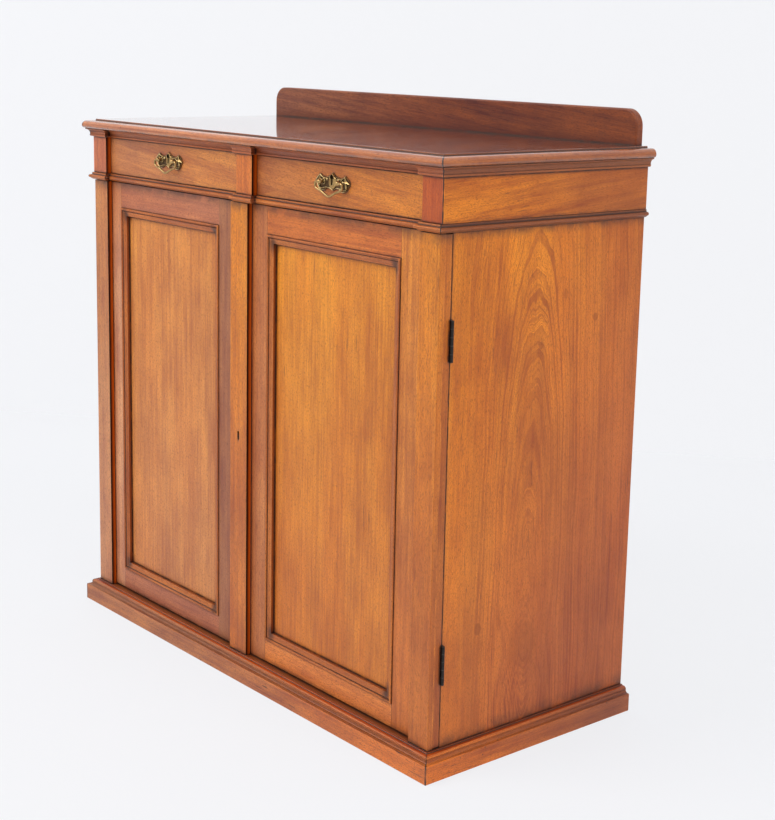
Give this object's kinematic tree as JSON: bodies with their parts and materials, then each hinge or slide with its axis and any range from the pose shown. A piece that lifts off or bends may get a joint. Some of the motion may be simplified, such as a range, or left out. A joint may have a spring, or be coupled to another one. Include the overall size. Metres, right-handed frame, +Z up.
{
  "type": "chiffonier",
  "caption": "Low mahogany chiffonier: frieze drawers with brass drop handles over panelled doors with pilasters, on a moulded plinth, with a low upstand along the back of the top.",
  "frame": {"origin": "middle of the footprint, on the floor under the plinth", "axes": "+X to the right seen from the front, +Y to the back, +Z up"},
  "size_m": [1.04, 0.462, 1.0195],
  "materials": {
    "mahogany": "polished",
    "red_mahogany": "polished",
    "dark_mahogany": "polished",
    "pine": "bare, aged",
    "brass": "antique",
    "steel": "darkened"
  },
  "bodies": {
    "case": {"side_left": "mahogany", "side_right": "mahogany", "bottom_board": "pine", "base_rail": "red_mahogany", "drawer_rail": "red_mahogany", "dust_board": "pine", "top_rail": "red_mahogany", "drawer_divider": "pine", "drawer_guides": "pine", "back_boards": "pine", "top_board": "dark_mahogany", "gallery_board": "dark_mahogany", "cornice_moulding": "red_mahogany", "waist_moulding": "red_mahogany", "frieze_blocks": "red_mahogany", "frieze_sides": "mahogany", "plinth_front": "mahogany", "plinth_sides": "mahogany", "plinth_back": "pine", "glue_blocks": "pine", "shelf": "pine", "shelf_bearers": "pine", "case_hinge_leaves": "steel", "hinge_pins": "steel"},
    "left_door": {"left_hinge_stile": "mahogany", "left_meeting_stile": "mahogany", "left_top_rail": "mahogany", "left_bottom_rail": "mahogany", "left_panel": "mahogany", "left_panel_moulding": "red_mahogany", "left_pilaster": "mahogany", "centre_pilaster": "mahogany", "left_hinge_leaves": "steel", "door_lock": "steel"},
    "right_door": {"right_hinge_stile": "mahogany", "right_meeting_stile": "mahogany", "right_top_rail": "mahogany", "right_bottom_rail": "mahogany", "right_panel": "mahogany", "right_panel_moulding": "red_mahogany", "right_pilaster": "mahogany", "right_hinge_leaves": "steel", "bolt_plates": "brass"},
    "door_lock_bolt": {"door_lock_bolt": "brass"},
    "top_bolt": {"top_bolt": "brass"},
    "bottom_bolt": {"bottom_bolt": "brass"},
    "left_drawer": {"drawer_left_front": "mahogany", "drawer_left_sides_and_back": "pine", "drawer_left_bottom": "pine", "drawer_left_lock": "steel", "drawer_left_handle_plate": "brass"},
    "left_bail": {"drawer_left_handle_bail": "brass"},
    "left_drawer_bolt": {"drawer_left_lock_bolt": "brass"},
    "right_drawer": {"drawer_right_front": "mahogany", "drawer_right_sides_and_back": "pine", "drawer_right_bottom": "pine", "drawer_right_lock": "steel", "drawer_right_handle_plate": "brass"},
    "right_bail": {"drawer_right_handle_bail": "brass"},
    "right_drawer_bolt": {"drawer_right_lock_bolt": "brass"}
  },
  "joints": [
    {"name": "left_door_hinge", "type": "hinge", "parent": "case", "child": "left_door", "pos_m": [-0.5035, -0.18675, 0.43175], "axis": [0, 0, -1], "range_deg": [0, 180]},
    {"name": "right_door_hinge", "type": "hinge", "parent": "case", "child": "right_door", "pos_m": [0.5035, -0.18675, 0.43175], "axis": [0, 0, 1], "range_deg": [0, 180]},
    {"name": "door_lock_throw", "type": "slide", "parent": "left_door", "child": "door_lock_bolt", "axis": [1, 0, 0], "range_m": [0, 0.008]},
    {"name": "top_bolt_slide", "type": "slide", "parent": "right_door", "child": "top_bolt", "axis": [0, 0, 1], "range_m": [0, 0.009]},
    {"name": "bottom_bolt_slide", "type": "slide", "parent": "right_door", "child": "bottom_bolt", "axis": [0, 0, -1], "range_m": [0, 0.009]},
    {"name": "left_drawer_slide", "type": "slide", "parent": "case", "child": "left_drawer", "axis": [0, -1, 0], "range_m": [0, 0.3]},
    {"name": "left_bail_swing", "type": "hinge", "parent": "left_drawer", "child": "left_bail", "pos_m": [-0.2475, -0.211, 0.8986], "axis": [-1, 0, 0], "range_deg": [0, 90]},
    {"name": "left_drawer_lock_throw", "type": "slide", "parent": "left_drawer", "child": "left_drawer_bolt", "axis": [0, 0, 1], "range_m": [0, 0.007]},
    {"name": "right_drawer_slide", "type": "slide", "parent": "case", "child": "right_drawer", "axis": [0, -1, 0], "range_m": [0, 0.3]},
    {"name": "right_bail_swing", "type": "hinge", "parent": "right_drawer", "child": "right_bail", "pos_m": [0.2325, -0.211, 0.8986], "axis": [-1, 0, 0], "range_deg": [0, 90]},
    {"name": "right_drawer_lock_throw", "type": "slide", "parent": "right_drawer", "child": "right_drawer_bolt", "axis": [0, 0, 1], "range_m": [0, 0.007]}
  ]
}
